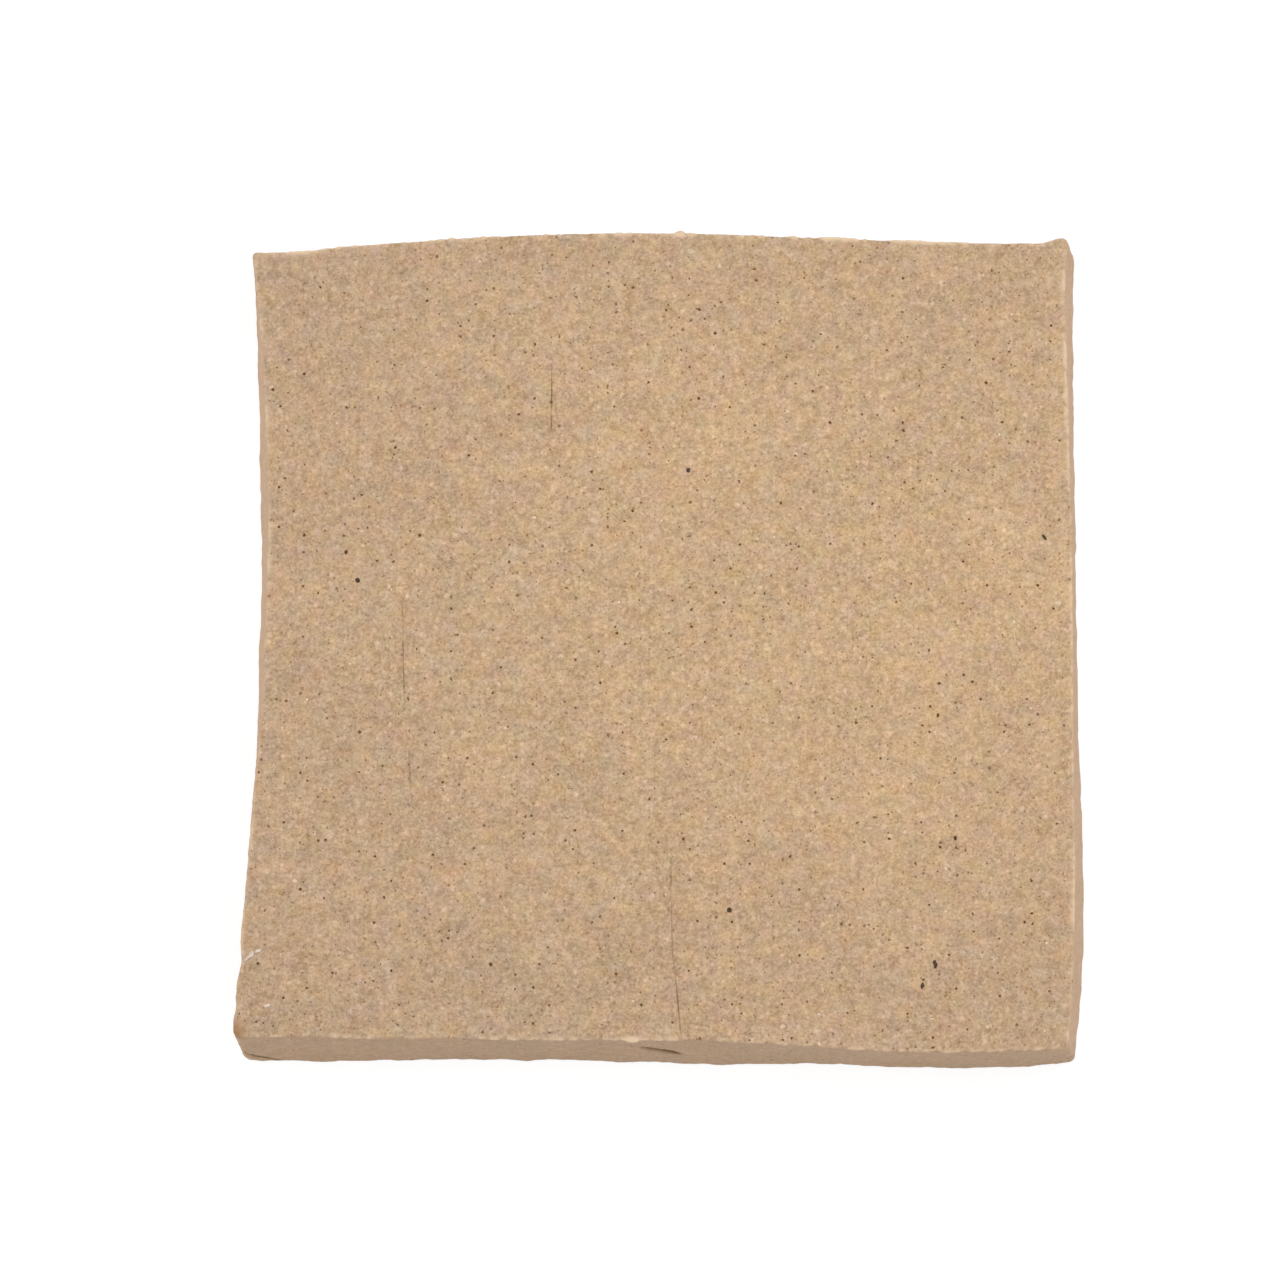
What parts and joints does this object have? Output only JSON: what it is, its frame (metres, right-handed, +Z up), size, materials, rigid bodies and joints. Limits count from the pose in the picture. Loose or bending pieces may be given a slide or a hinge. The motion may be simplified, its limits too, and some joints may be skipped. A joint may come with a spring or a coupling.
{
  "type": "square clay tile",
  "caption": "Square tile of soft buff grogged clay, a flat slice with a wire-cut face, uneven smooth walls that spread towards the foot and slightly rounded edges; raw stock for tile work.",
  "frame": {"origin": "on the underside, below the middle of the tile's box", "axes": "+Z up through the thickness, out of the cut face; +X along the near wall to the right; +Y from the near wall to the far wall"},
  "size_m": [0.144, 0.1436, 0.015],
  "materials": {
    "buff_clay": "matt, damp, grogged buff clay with dark and pale specks"
  },
  "bodies": {
    "root": {"clay_tile": "buff_clay"}
  },
  "joints": []
}
